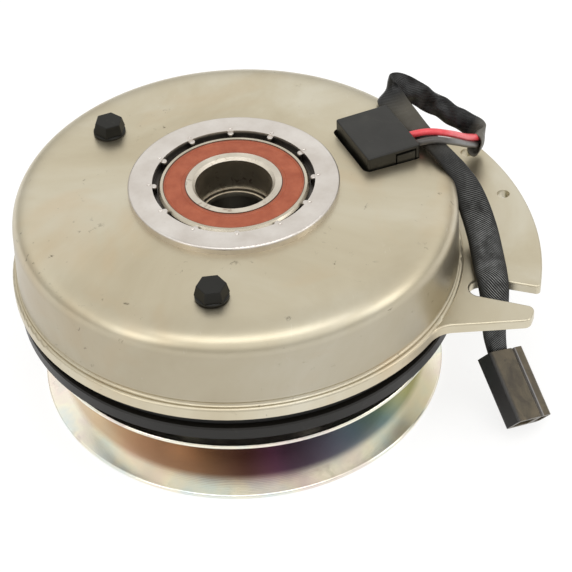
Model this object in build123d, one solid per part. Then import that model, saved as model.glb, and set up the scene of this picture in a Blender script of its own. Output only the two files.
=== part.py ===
"""Electric clutch with a belt pulley, as used to drive a mower deck from an engine's crankshaft.

Millimetres.  The shaft axis is Z.  Z = 0 is the pulley's lower lip and the hub's lower end, which
the clutch stands on; +Z points to the stationary field shell on top.  Azimuths are degrees from +X.
"""

from build123d import *
from math import atan2, cos, degrees, pi, radians, sin, sqrt, tan
import os

# ---- driving dimensions ---------------------------------------------------------------------
# Field shell, a deep-drawn cup
SHELL_HOLE_R = 43.3        # hole in the top, pressed over the bearing housing
SHELL_TOP_Z = 94.2         # outside of the top at that hole
SHELL_FLAT_R = 76.0        # where the top rolls over into the shoulder
SHELL_FLAT_Z = 92.9
WALL_TOP_R = 91.7          # side wall, slightly conical
WALL_TOP_Z = 82.5
WALL_LOW_R = 92.6
WALL_LOW_Z = 61.9
SHELL_THICK = 3.0
SHELL_BORE_R = 88.5        # inside of the side wall
RIM_R = 94.6               # heavy rim at the open end
RIM_TOP_Z = 58.6
RIM_LOW_Z = 54.3
RIM_EDGE = 0.4

# Anti-rotation ear, in one piece with the rim
EAR_R = 127.0
EAR_START_DEG = 35.0
EAR_EDGE = 1.0
SLOT_END = (98.2, -32.1)   # centre of the slot's round inner end
SLOT_END_R = 4.75
EAR_CORNER = (122.6, -33.9)
EAR_BEND = (108.5, -28.8)
FINGER_TIP = (118.6, -45.3)
FINGER_FRONT_Y = -53.4
FINGER_TIP_OUT = (sqrt(EAR_R**2 - FINGER_FRONT_Y**2), FINGER_FRONT_Y)
EAR_HOLE_R = 2.75
EAR_HOLE_PITCH_R = 119.4
EAR_HOLE_DEGS = (13.4, 29.2)

# Three stations a third of a turn apart: the plug's window and two screws
PLUG_DEG = 21.0
SCREW_DEGS = (140.0, 260.5)
SCREW_R = 66.8
SCREW_SEAT_Z = 93.6
SCREW_SHANK_R = 3.0
SCREW_CLEARANCE = 0.3
SCREW_HEAD_HIGH = 5.9
SCREW_TURN_DEGS = (20.0, 4.0)
FLANGE_R = 6.8
HEX_LOW_FLATS = 12.4
HEX_TOP_FLATS = 10.2
HEX_EDGE = 0.45

# Field bearing
BEARING_TOP_Z = 96.0
BEARING_WIDE = 20.0
BEARING_LOW_Z = BEARING_TOP_Z - BEARING_WIDE
BEARING_R = 31.0
BEARING_BORE_R = 15.875
FIELD_PITCH_R = 24.35
FIELD_BALLS = 9
FIELD_BALL_Z = BEARING_TOP_Z - BEARING_WIDE / 2

# Details that both bearings share
BALL_R = 4.7
BALL_PLAY = 0.06
CAGE_PLAY = 0.15
CAGE_HALF_WIDE = 1.7
CAGE_HALF_HIGH = 5.35
LAND_STEP = 2.75           # from the pitch circle to each ring's land
SEAL_STEP = 4.65           # from the pitch circle to each end of the seal
SEAL_DEEP = 2.0
SEAL_THICK = 1.5
SEAL_INSET = 0.3
SEAL_RUN = 0.07
CHAMFER = 0.9

# Bearing housing, which is the magnet's inner pole
HOUSING_TOP_Z = 97.3
HOUSING_LOW_Z = 57.5
HOUSING_EDGE = 1.0
RECESS_R = 33.3            # recess round the bearing's top
RECESS_LOW_Z = 93.6
STAKE_COUNT = 12
STAKE_FIRST_DEG = 0.0
STAKE_R = 1.35
STAKE_PITCH_R = 32.7
STAKE_DROP = 0.5           # lugs' tops below the housing's top

# Coil
COIL_IN_R = 51.5
COIL_OUT_R = 79.0
COIL_LOW_Z = 58.0
COIL_TOP_Z = 88.6
BOBBIN_THICK = 1.6
WRAP_THICK = 1.5
BOSS_R = 6.0
BOSS_TOP_Z = 89.9

# Rotor
HUB_BORE_R = 14.2875       # 1 1/8 inch crankshaft
KEY_WIDE = 6.35            # 1/4 inch key
KEY_DEEP_R = 17.3
KEYWAY_TOP_Z = 70.0
HUB_TOP_Z = 79.5           # end of the spigot inside the field bearing
HUB_R = 24.0
HUB_NOSE_R = 19.6
HUB_NECK_R = 19.5
HUB_NECK_Z = 72.0
ROTOR_FACE_Z = 47.9
ROTOR_BACK_Z = 53.5
ROTOR_R = 90.6
ROTOR_RING_R = 87.9        # outer pole ring, turning inside the shell
ROTOR_RING_IN_R = 82.0
ROTOR_RING_TOP_Z = 66.0
ROTOR_TUBE_R = 49.5        # inner pole tube, turning round the housing
ROTOR_TUBE_IN_R = 44.0
ROTOR_TUBE_TOP_Z = 71.0
SLOT_RING_R = 60.5
SLOT_WIDE = 3.2
SLOT_SPAN_DEG = 48.0
SLOT_COUNT = 6
FRICTION_IN_R = 66.0
FRICTION_OUT_R = 76.0
FRICTION_DEEP = 2.6

# Pulley, pressed from two sheets
LIP_R = 86.8
SHEET = 2.1
UPPER_LIP_Z = 31.9
WEB_MID_Z = UPPER_LIP_Z / 2
WEB_TOP_Z = WEB_MID_Z + SHEET
ROOT_R = 66.5
GROOVE_HALF_DEG = 18.0
PULLEY_BORE_R = 34.0
PULLEY_HUB_R = 42.0
PULLEY_HUB_LOW_Z = 3.6
PULLEY_HUB_TOP_Z = 26.5
BEARING_STOP_R = 31.2
HUB_FLANGE_R = 51.0
HUB_FLANGE_THICK = 3.0
HUB_RIVET_PITCH_R = 46.5
PULLEY_BEARING_LOW_Z = 8.5
PULLEY_BEARING_WIDE = 15.0
PULLEY_BEARING_TOP_Z = PULLEY_BEARING_LOW_Z + PULLEY_BEARING_WIDE
PULLEY_BEARING_BORE_R = 20.0
PULLEY_PITCH_R = 27.0
PULLEY_BALLS = 12
PULLEY_BALL_Z = PULLEY_BEARING_LOW_Z + PULLEY_BEARING_WIDE / 2
CLIP_THICK = 1.7
CLIP_LOW_Z = PULLEY_BEARING_LOW_Z - CLIP_THICK
CLIP_GROOVE_R = 18.6

# Armature, and the leaf springs that carry it on the pulley
ARMATURE_R = 92.9
ARMATURE_IN_R = 46.0
ARMATURE_TOP_Z = 47.5
ARMATURE_LOW_Z = 41.5
SPRING_Z = 36.0
SPRING_THICK = 0.8
SPRING_R = 56.0
SPRING_SPAN_DEG = 46.0
SPRING_WIDE = 13.0
SPRING_DEGS = (30.0, 150.0, 270.0)
POST_R = 6.0
RIVET_R = 2.6
COLLAR_R = 5.0
RIVET_HEAD_R = 4.6
RIVET_HEAD_LOW_Z = 33.2
RIVET_HEAD_TOP_Z = 35.2

# Plug over the coil's terminals
PLUG_MID_R = 65.4
PLUG_LONG = 23.8
PLUG_WIDE = 31.0
PLUG_LOW_Z = 90.5
PLUG_TOP_Z = 99.6
WINDOW_IN_R = 51.8
WINDOW_OUT_R = 78.0
WINDOW_WIDE = 32.6
WINDOW_CORNER_R = 3.0
HEADER_LONG = 21.0
HEADER_WIDE = 29.0
TERMINAL_PITCH = 8.4
BLADE_LONG = 10.0
BLADE_THICK = 1.0
BLADE_HIGH = 6.0

# Plug on the harness's far end: width, length, thickness, and where its upper front corner is
ENGINE_PLUG_SIZE = (20.8, 31.3, 9.0)
ENGINE_PLUG_STEP = 14.2    # width of the flat body beside the lobe
ENGINE_PLUG_EDGE = 1.5
ENGINE_PLUG_LAP = 1.0       # of the lobe into the body
ENGINE_PLUG_LOBE_EDGE = 2.2
ENGINE_PLUG_GROOVE = (1.1, 1.1)
ENGINE_PLUG_GROOVE_X = 14.4
CAVITY_HIGH = 5.6
ENGINE_PLUG_CAVITIES = ((7.2, 9.8), (17.4, 4.2))
CAVITY_DEEP = 14.0
ENGINE_PLUG_PLACE = Plane(origin=(101.6, -42.2, 31.4), x_dir=(0.767, 0.526, -0.368),
                          z_dir=(-0.568, 0.291, -0.770))

# Harness
LEAD_R = 1.5
SLEEVE_R = 2.2             # half the thickness of the flat sleeve
RED_ROUTE = ((74.03, 22.85, 97.0), (79.8, 25.0, 99.1), (86.0, 26.8, 98.4), (92.2, 31.4, 92.4),
             (98.0, 39.0, 83.4), (103.2, 47.8, 74.6), (108.0, 54.4, 68.6))
BLACK_ROUTE = ((76.18, 17.25, 96.8), (81.9, 19.4, 99.3), (88.0, 21.8, 97.9), (94.2, 27.0, 90.2),
               (99.8, 35.4, 79.4), (104.4, 45.6, 69.8), (108.2, 54.4, 65.3))
SLEEVE_ROUTE = (
    (107.6, 54.6, 66.8), (110.9, 55.7, 67.6), (113.0, 58.6, 69.6), (111.6, 61.8, 73.2),
    (106.6, 61.9, 76.8), (99.0, 60.4, 81.8), (90.0, 59.4, 88.0), (80.5, 59.0, 94.0),
    (73.0, 58.8, 98.0), (67.8, 55.0, 98.0), (70.0, 47.8, 96.0), (74.9, 37.4, 94.9),
    (79.8, 26.6, 94.9), (84.8, 16.8, 94.9), (89.7, 9.8, 92.7), (94.0, 6.4, 86.6),
    (97.4, 5.6, 78.4), (100.4, 3.4, 70.4), (102.6, -2.4, 64.0), (103.1, -12.0, 61.6),
    (103.0, -25.0, 61.8), (103.3, -32.4, 60.4), (103.9, -34.6, 52.5), (104.5, -33.2, 42.0),
    (104.5, -33.4, 32.0), (106.2, -37.0, 24.1))


# ---- helpers --------------------------------------------------------------------------------
def polar(radius, azimuth, z=0.0):
    return (radius * cos(radians(azimuth)), radius * sin(radians(azimuth)), z)


def azimuth_of(point):
    return degrees(atan2(point[1], point[0]))


def disc(radius, low, high):
    return Pos(0, 0, low) * Cylinder(radius, high - low, align=(Align.CENTER, Align.CENTER, Align.MIN))


def tube(inner, outer, low, high):
    return disc(outer, low, high) - disc(inner, low - 1, high + 1)


def turned(*edges):
    """A solid of revolution about Z from edges drawn in the XZ plane as (radius, z)."""
    return revolve(Plane.XZ * make_face(Curve() + list(edges)), Axis.Z)


def turned_outline(points):
    return turned(*Polyline(*points, close=True).edges())


def box(wide_x, wide_y, low, high, at=(0, 0)):
    size = Box(wide_x, wide_y, high - low, align=(Align.CENTER, Align.CENTER, Align.MIN))
    return Pos(at[0], at[1], low) * size


def at_azimuth(azimuth, shape):
    return Rot(0, 0, azimuth) * shape


def single(shape):
    """The one solid of a shape, without the list that wraps it."""
    solids = shape.solids()
    assert len(solids) == 1, f"{len(solids)} solids where one was meant"
    return solids[0]


# ---- field shell ----------------------------------------------------------------------------
def shell_cup():
    under_z = SHELL_FLAT_Z - SHELL_THICK
    outside = [
        Line((SHELL_HOLE_R, SHELL_TOP_Z), (SHELL_FLAT_R, SHELL_FLAT_Z)),
        Bezier((SHELL_FLAT_R, SHELL_FLAT_Z), (87.0, SHELL_FLAT_Z - 0.45), (91.6, 89.6),
               (WALL_TOP_R, WALL_TOP_Z)),
        Line((WALL_TOP_R, WALL_TOP_Z), (WALL_LOW_R, WALL_LOW_Z)),
        ThreePointArc((WALL_LOW_R, WALL_LOW_Z), (92.0, 60.6), (92.9, 59.6)),
        ThreePointArc((92.9, 59.6), (94.1, 59.3), (RIM_R, RIM_TOP_Z - RIM_EDGE)),
        Line((RIM_R, RIM_TOP_Z - RIM_EDGE), (RIM_R, RIM_LOW_Z + RIM_EDGE)),
        Line((RIM_R, RIM_LOW_Z + RIM_EDGE), (RIM_R - RIM_EDGE, RIM_LOW_Z)),
    ]
    inside = [
        Line((RIM_R - RIM_EDGE, RIM_LOW_Z), (SHELL_BORE_R, RIM_LOW_Z)),
        Line((SHELL_BORE_R, RIM_LOW_Z), (SHELL_BORE_R, WALL_TOP_Z - 1)),
        Bezier((SHELL_BORE_R, WALL_TOP_Z - 1), (SHELL_BORE_R - 0.2, 87.2), (85.0, under_z - 0.5),
               (SHELL_FLAT_R - 0.5, under_z)),
        Line((SHELL_FLAT_R - 0.5, under_z), (SHELL_HOLE_R, SHELL_TOP_Z - SHELL_THICK)),
        Line((SHELL_HOLE_R, SHELL_TOP_Z - SHELL_THICK), (SHELL_HOLE_R, SHELL_TOP_Z)),
    ]
    return turned(*outside, *inside)


def ear_outline():
    """The ear in plan, with its slot between the wide plate and the narrow finger."""
    slot_x, slot_y = SLOT_END
    inner_r = RIM_R - 3
    rim_start = polar(inner_r, EAR_START_DEG + 5)[:2]
    arc_start = polar(EAR_R, EAR_START_DEG)[:2]
    arc_end = polar(EAR_R, azimuth_of(EAR_CORNER))[:2]
    slot_top = (slot_x, slot_y + SLOT_END_R)
    slot_low = (slot_x - 0.8, slot_y - SLOT_END_R + 0.1)
    tip_in = polar(EAR_R, azimuth_of(FINGER_TIP))[:2]
    tip_out = FINGER_TIP_OUT
    tip_mid = polar(EAR_R, (azimuth_of(tip_in) + azimuth_of(tip_out)) / 2)[:2]
    rim_front = (sqrt(inner_r**2 - FINGER_FRONT_Y**2), FINGER_FRONT_Y)
    edges = [
        Line((0, 0), rim_start),
        Line(rim_start, arc_start),
        ThreePointArc(arc_start, polar(EAR_R, 10)[:2], arc_end),
        Line(arc_end, EAR_BEND),
        Line(EAR_BEND, slot_top),
        ThreePointArc(slot_top, (slot_x - SLOT_END_R, slot_y), slot_low),
        Line(slot_low, tip_in),
        ThreePointArc(tip_in, tip_mid, tip_out),
        Line(tip_out, rim_front),
        Line(rim_front, (0, 0)),
    ]
    return make_face(Curve() + edges)


def ear():
    """The flat ring at the rim with the ear on one side; its inner part merges into the cup."""
    plan = ear_outline() + Circle(RIM_R)
    rounded_corners = (
        (polar(EAR_R, EAR_START_DEG), 9.0),
        (EAR_CORNER, 1.8),
        (FINGER_TIP, 3.0),
        (FINGER_TIP_OUT, 3.6),
        ((sqrt(RIM_R**2 - FINGER_FRONT_Y**2), FINGER_FRONT_Y), 12.0),
        (polar(RIM_R, EAR_START_DEG + 5), 8.0),
    )
    for place, radius in rounded_corners:
        corner = plan.vertices().sort_by_distance((place[0], place[1], 0))[:1]
        plan = fillet(corner, radius)
    plate = Pos(0, 0, RIM_LOW_Z) * extrude(plan, RIM_TOP_Z - RIM_LOW_Z)
    plate = fillet(plate.faces().sort_by(Axis.Z)[-1].edges(), EAR_EDGE)
    for azimuth in EAR_HOLE_DEGS:
        x, y, _ = polar(EAR_HOLE_PITCH_R, azimuth)
        plate -= Pos(x, y) * disc(EAR_HOLE_R, RIM_LOW_Z - 1, RIM_TOP_Z + 1)
    return plate - disc(SHELL_BORE_R + 1, RIM_LOW_Z - 1, RIM_TOP_Z + 1)


def window_cut():
    long_r = WINDOW_OUT_R - WINDOW_IN_R
    cut = box(long_r, WINDOW_WIDE, 78, SHELL_TOP_Z + 1, at=((WINDOW_OUT_R + WINDOW_IN_R) / 2, 0))
    return at_azimuth(PLUG_DEG, fillet(cut.edges().filter_by(Axis.Z), WINDOW_CORNER_R))


def field_shell():
    shell = shell_cup() + ear() - window_cut()
    for azimuth in SCREW_DEGS:
        x, y, _ = polar(SCREW_R, azimuth)
        shell -= Pos(x, y) * disc(SCREW_SHANK_R + SCREW_CLEARANCE, 80, SHELL_TOP_Z + 1)
    return single(shell)


# ---- bearing housing and coil ---------------------------------------------------------------
def bearing_housing():
    """Inner pole with the bearing's seat; lugs staked out of its top hold the bearing down."""
    body = turned_outline([
        (RECESS_R, HOUSING_TOP_Z), (SHELL_HOLE_R, HOUSING_TOP_Z), (SHELL_HOLE_R, HOUSING_LOW_Z),
        (30.0, HOUSING_LOW_Z), (30.0, BEARING_LOW_Z - 3), (29.0, BEARING_LOW_Z - 3),
        (29.0, BEARING_LOW_Z), (BEARING_R, BEARING_LOW_Z), (BEARING_R, RECESS_LOW_Z),
        (RECESS_R, RECESS_LOW_Z)])
    top_edges = body.faces().sort_by(Axis.Z)[-1].edges().sort_by(SortBy.RADIUS)
    body = fillet(top_edges[-1:], HOUSING_EDGE)
    for index in range(STAKE_COUNT):
        azimuth = STAKE_FIRST_DEG + index * 360 / STAKE_COUNT
        lug = disc(STAKE_R, RECESS_LOW_Z - 0.5, HOUSING_TOP_Z - STAKE_DROP)
        lug = fillet(lug.edges().sort_by(Axis.Z)[-1:], 0.5)
        body += Pos(*polar(STAKE_PITCH_R, azimuth)) * lug
        body -= Pos(*polar(STAKE_PITCH_R + STAKE_R + 0.5, azimuth, HOUSING_TOP_Z + 0.3)) * Sphere(0.9)
    return single(body - disc(BEARING_R, BEARING_LOW_Z + 1, HOUSING_TOP_Z + 1))


def coil_bobbin():
    wall = BOBBIN_THICK
    body = turned_outline([
        (COIL_IN_R, COIL_LOW_Z), (COIL_OUT_R, COIL_LOW_Z), (COIL_OUT_R, COIL_LOW_Z + wall),
        (COIL_IN_R + wall, COIL_LOW_Z + wall), (COIL_IN_R + wall, COIL_TOP_Z - wall),
        (COIL_OUT_R, COIL_TOP_Z - wall), (COIL_OUT_R, COIL_TOP_Z), (COIL_IN_R, COIL_TOP_Z)])
    for azimuth in SCREW_DEGS:
        x, y, _ = polar(SCREW_R, azimuth)
        body += Pos(x, y) * disc(BOSS_R, COIL_TOP_Z - wall, BOSS_TOP_Z)
        body -= Pos(x, y) * disc(SCREW_SHANK_R, COIL_TOP_Z - 2 * wall, BOSS_TOP_Z + 1)
    return single(body)


def coil_winding():
    wall = BOBBIN_THICK
    return single(tube(COIL_IN_R + wall, COIL_OUT_R - WRAP_THICK, COIL_LOW_Z + wall, COIL_TOP_Z - wall))


def coil_wrap():
    wall = BOBBIN_THICK
    return single(tube(COIL_OUT_R - WRAP_THICK, COIL_OUT_R, COIL_LOW_Z + wall, COIL_TOP_Z - wall))


def terminal_header():
    plate = box(HEADER_LONG, HEADER_WIDE, COIL_TOP_Z, PLUG_LOW_Z, at=(PLUG_MID_R, 0))
    return single(at_azimuth(PLUG_DEG, fillet(plate.edges().filter_by(Axis.Z), 1.5)))


def header_terminals():
    """Two flat blades that stand on the header and reach up into the plug."""
    return Compound(children=[
        at_azimuth(PLUG_DEG, box(BLADE_LONG, BLADE_THICK, PLUG_LOW_Z, PLUG_LOW_Z + BLADE_HIGH,
                                 at=(PLUG_MID_R, side * TERMINAL_PITCH / 2))) for side in (-1, 1)])


def field_screws():
    """Two screws with tapered hexagon heads and round flanges, black."""
    flange = turned_outline([(0, 0), (FLANGE_R, 0), (FLANGE_R, 0.7), (FLANGE_R - 1.0, 1.2), (0, 1.2)])
    wide_end = Pos(0, 0, 1.0) * RegularPolygon(HEX_LOW_FLATS / 2, 6, major_radius=False)
    narrow_end = Pos(0, 0, SCREW_HEAD_HIGH) * RegularPolygon(HEX_TOP_FLATS / 2, 6, major_radius=False)
    hexagon = loft([wide_end, narrow_end])
    hexagon = fillet(hexagon.edges(), HEX_EDGE)
    shank = disc(SCREW_SHANK_R, COIL_TOP_Z - BOBBIN_THICK - SCREW_SEAT_Z, 0.5)
    screw = single(flange + hexagon + shank)
    return Compound(children=[
        Pos(*polar(SCREW_R, azimuth, SCREW_SEAT_Z)) * Rot(0, 0, turn) * screw
        for azimuth, turn in zip(SCREW_DEGS, SCREW_TURN_DEGS)])


# ---- ball bearings --------------------------------------------------------------------------
def outer_ring(outer_r, pitch_r, low, wide):
    """Outer ring with a deep groove, and a recess for a seal at each face."""
    land_r = pitch_r + LAND_STEP
    ring = turned_outline([
        (outer_r - CHAMFER, low), (outer_r, low + CHAMFER), (outer_r, low + wide - CHAMFER),
        (outer_r - CHAMFER, low + wide), (pitch_r + SEAL_STEP, low + wide),
        (pitch_r + SEAL_STEP, low + wide - SEAL_DEEP), (land_r, low + wide - SEAL_DEEP),
        (land_r, low + SEAL_DEEP), (pitch_r + SEAL_STEP, low + SEAL_DEEP), (pitch_r + SEAL_STEP, low)])
    groove = Pos(0, 0, low + wide / 2) * Torus(pitch_r, BALL_R + BALL_PLAY)
    return single(ring - groove)


def inner_ring(bore_r, bore_chamfer, pitch_r, low, wide):
    land_r = pitch_r - LAND_STEP
    ring = turned_outline([
        (bore_r + bore_chamfer, low), (bore_r, low + bore_chamfer),
        (bore_r, low + wide - bore_chamfer), (bore_r + bore_chamfer, low + wide),
        (pitch_r - SEAL_STEP, low + wide), (pitch_r - SEAL_STEP, low + wide - SEAL_DEEP),
        (land_r, low + wide - SEAL_DEEP), (land_r, low + SEAL_DEEP),
        (pitch_r - SEAL_STEP, low + SEAL_DEEP), (pitch_r - SEAL_STEP, low)])
    groove = Pos(0, 0, low + wide / 2) * Torus(pitch_r, BALL_R + BALL_PLAY)
    return single(ring - groove)


def balls(pitch_r, count, mid_z):
    return Compound(children=[
        Pos(*polar(pitch_r, index * 360 / count, mid_z)) * Sphere(BALL_R) for index in range(count)])


def cage(pitch_r, count, mid_z):
    """A ring of pockets round the balls, joined above and below them."""
    ring = tube(pitch_r - CAGE_HALF_WIDE, pitch_r + CAGE_HALF_WIDE,
                mid_z - CAGE_HALF_HIGH, mid_z + CAGE_HALF_HIGH)
    for index in range(count):
        pocket = Pos(pitch_r, 0, mid_z) * Rot(0, 90, 0) * Cylinder(BALL_R + CAGE_PLAY, 4 * CAGE_HALF_WIDE)
        ring -= at_azimuth(index * 360 / count, pocket)
    return single(ring)


def seal(pitch_r, low, upward):
    """Pressed-in rubber seal; its lip runs just clear of the inner ring."""
    inner, outer = pitch_r - SEAL_STEP + SEAL_RUN, pitch_r + SEAL_STEP
    high = low + SEAL_THICK
    face, back = (high, low) if upward else (low, high)
    step = -0.35 if upward else 0.35
    return single(turned_outline([
        (inner, face), (inner + 1.4, face), (inner + 1.9, face + step), (outer - 1.2, face + step),
        (outer - 0.8, face), (outer, face), (outer, back), (inner, back)]))


# ---- rotor and hub --------------------------------------------------------------------------
def rotor_hub():
    hub = turned_outline([
        (HUB_BORE_R, 0), (HUB_NOSE_R - 0.8, 0), (HUB_NOSE_R, 0.8), (HUB_NOSE_R, CLIP_LOW_Z),
        (CLIP_GROOVE_R, CLIP_LOW_Z), (CLIP_GROOVE_R, PULLEY_BEARING_LOW_Z),
        (PULLEY_BEARING_BORE_R, PULLEY_BEARING_LOW_Z),
        (PULLEY_BEARING_BORE_R, PULLEY_BEARING_TOP_Z), (HUB_R, PULLEY_BEARING_TOP_Z),
        (HUB_R, HUB_NECK_Z), (HUB_NECK_R, HUB_NECK_Z), (HUB_NECK_R, BEARING_LOW_Z),
        (BEARING_BORE_R, BEARING_LOW_Z), (BEARING_BORE_R, HUB_TOP_Z), (HUB_BORE_R, HUB_TOP_Z)])
    keyway = box(KEY_DEEP_R, KEY_WIDE, -1, KEYWAY_TOP_Z, at=(KEY_DEEP_R / 2, 0))
    return single(hub - keyway)


def rotor():
    """Pole plate with an outer ring and an inner tube, split into two poles by a ring of slots."""
    body = turned_outline([
        (HUB_R, ROTOR_FACE_Z), (ROTOR_R - 0.5, ROTOR_FACE_Z), (ROTOR_R, ROTOR_FACE_Z + 0.5),
        (ROTOR_R, ROTOR_BACK_Z), (ROTOR_RING_R, ROTOR_BACK_Z), (ROTOR_RING_R, ROTOR_RING_TOP_Z),
        (ROTOR_RING_IN_R, ROTOR_RING_TOP_Z), (ROTOR_RING_IN_R, ROTOR_BACK_Z),
        (ROTOR_TUBE_R, ROTOR_BACK_Z), (ROTOR_TUBE_R, ROTOR_TUBE_TOP_Z),
        (ROTOR_TUBE_IN_R, ROTOR_TUBE_TOP_Z), (ROTOR_TUBE_IN_R, ROTOR_BACK_Z), (HUB_R, ROTOR_BACK_Z)])
    body -= tube(FRICTION_IN_R, FRICTION_OUT_R, ROTOR_FACE_Z - 1, ROTOR_FACE_Z + FRICTION_DEEP)
    slot = extrude(SlotArc(CenterArc((0, 0), SLOT_RING_R, -SLOT_SPAN_DEG / 2, SLOT_SPAN_DEG), SLOT_WIDE),
                   ROTOR_BACK_Z - ROTOR_FACE_Z + 2)
    for index in range(SLOT_COUNT):
        body -= at_azimuth(index * 360 / SLOT_COUNT, Pos(0, 0, ROTOR_FACE_Z - 1) * slot)
    return single(body)


def friction_ring():
    return single(tube(FRICTION_IN_R, FRICTION_OUT_R, ROTOR_FACE_Z + 0.05, ROTOR_FACE_Z + FRICTION_DEEP))


def clip(inner_r, outer_r, low, gap_deg):
    """A flat retaining ring with a gap, and a plier hole at each end."""
    ring = tube(inner_r, outer_r, low, low + CLIP_THICK)
    reach = outer_r + 5
    half_gap = reach * tan(radians(gap_deg / 2))
    gap = Polyline((0, 0), (reach, -half_gap), (reach, half_gap), close=True)
    ring -= Pos(0, 0, low - 1) * extrude(make_face(gap), CLIP_THICK + 2)
    mid_r = (inner_r + outer_r) / 2
    for side in (-1, 1):
        x, y, _ = polar(mid_r, side * (gap_deg / 2 + 5))
        ring -= Pos(x, y) * disc(0.8, low - 1, low + CLIP_THICK + 1)
    return single(ring)


# ---- armature, springs and pulley -----------------------------------------------------------
def armature_plate():
    plate = tube(ARMATURE_IN_R, ARMATURE_R, ARMATURE_LOW_Z, ARMATURE_TOP_Z)
    rims = plate.edges().filter_by(GeomType.CIRCLE).sort_by(SortBy.RADIUS)[-2:]
    plate = chamfer(rims, 0.6)
    for centre in SPRING_DEGS:
        x, y, _ = polar(SPRING_R, centre + SPRING_SPAN_DEG / 2)
        plate -= Pos(x, y) * disc(RIVET_R, ARMATURE_LOW_Z - 1, ARMATURE_TOP_Z + 1)
    return single(plate)


def armature_rivets():
    """Shouldered rivets that hang the armature on the free ends of the leaf springs."""
    profile = [
        (0, RIVET_HEAD_LOW_Z), (RIVET_HEAD_R, RIVET_HEAD_LOW_Z), (RIVET_HEAD_R, RIVET_HEAD_TOP_Z),
        (RIVET_R, RIVET_HEAD_TOP_Z), (RIVET_R, SPRING_Z + SPRING_THICK + 0.1),
        (COLLAR_R, SPRING_Z + SPRING_THICK + 0.1), (COLLAR_R, ARMATURE_LOW_Z),
        (RIVET_R, ARMATURE_LOW_Z), (RIVET_R, ARMATURE_TOP_Z - 0.4), (0, ARMATURE_TOP_Z - 0.4)]
    rivet = single(turned_outline(profile))
    return Compound(children=[
        Pos(*polar(SPRING_R, centre + SPRING_SPAN_DEG / 2)) * rivet for centre in SPRING_DEGS])


def leaf_springs():
    """Three flat strips, each from a pulley post to an armature rivet."""
    span = 2 * SPRING_R * sin(radians(SPRING_SPAN_DEG / 2))
    strip = SlotCenterToCenter(span, SPRING_WIDE)
    strip -= Pos(span / 2, 0) * Circle(RIVET_R + 0.4)
    strip -= Pos(-span / 2, 0) * Circle(RIVET_R)
    leaf = extrude(strip, SPRING_THICK)
    mid_r = SPRING_R * cos(radians(SPRING_SPAN_DEG / 2))
    return Compound(children=[
        Pos(*polar(mid_r, centre, SPRING_Z)) * Rot(0, 0, centre + 90) * leaf for centre in SPRING_DEGS])


def spring_posts():
    """Standoffs between the pulley's web and the fixed ends of the leaf springs."""
    return Compound(children=[
        Pos(*polar(SPRING_R, centre - SPRING_SPAN_DEG / 2)[:2]) * tube(RIVET_R, POST_R, WEB_TOP_Z, SPRING_Z)
        for centre in SPRING_DEGS])


def post_rivets():
    low = WEB_MID_Z - SHEET
    top = SPRING_Z + SPRING_THICK
    profile = [(0, low - 1.6), (RIVET_HEAD_R, low - 1.6), (RIVET_HEAD_R, low), (RIVET_R, low),
               (RIVET_R, top), (RIVET_HEAD_R, top), (RIVET_HEAD_R - 0.8, top + 1.5), (0, top + 1.5)]
    rivet = single(turned_outline(profile))
    return Compound(children=[
        Pos(*polar(SPRING_R, centre - SPRING_SPAN_DEG / 2)) * rivet for centre in SPRING_DEGS])


def pulley_half():
    """The upper pressed half: flared lip, groove wall, half of the groove's root, and web."""
    slope = tan(radians(GROOVE_HALF_DEG))
    lip_under_z = UPPER_LIP_Z - SHEET
    root_z = lip_under_z - (LIP_R - ROOT_R) * slope
    outside = [(PULLEY_HUB_R, WEB_MID_Z), (ROOT_R, WEB_MID_Z), (ROOT_R, root_z), (LIP_R, lip_under_z)]
    inside = [(LIP_R, UPPER_LIP_Z), (ROOT_R - SHEET, root_z + SHEET + 0.3),
              (ROOT_R - SHEET, WEB_TOP_Z), (PULLEY_HUB_R, WEB_TOP_Z)]
    half = turned_outline(outside + inside)
    lip = half.edges().filter_by(GeomType.CIRCLE).sort_by(SortBy.RADIUS)[-2:]
    half = fillet(lip, 0.8)
    for azimuth in spring_post_degs() + hub_rivet_degs():
        hole_r = SPRING_R if azimuth in spring_post_degs() else HUB_RIVET_PITCH_R
        x, y, _ = polar(hole_r, azimuth)
        half -= Pos(x, y) * disc(RIVET_R, WEB_MID_Z - 1, WEB_TOP_Z + 1)
    return single(half)


def spring_post_degs():
    return [centre - SPRING_SPAN_DEG / 2 for centre in SPRING_DEGS]


def hub_rivet_degs():
    return [30.0 + 60 * index for index in range(6)]


def pulley_upper_half():
    return pulley_half()


def pulley_lower_half():
    return mirror(pulley_half(), Plane.XY.offset(WEB_MID_Z))


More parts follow.
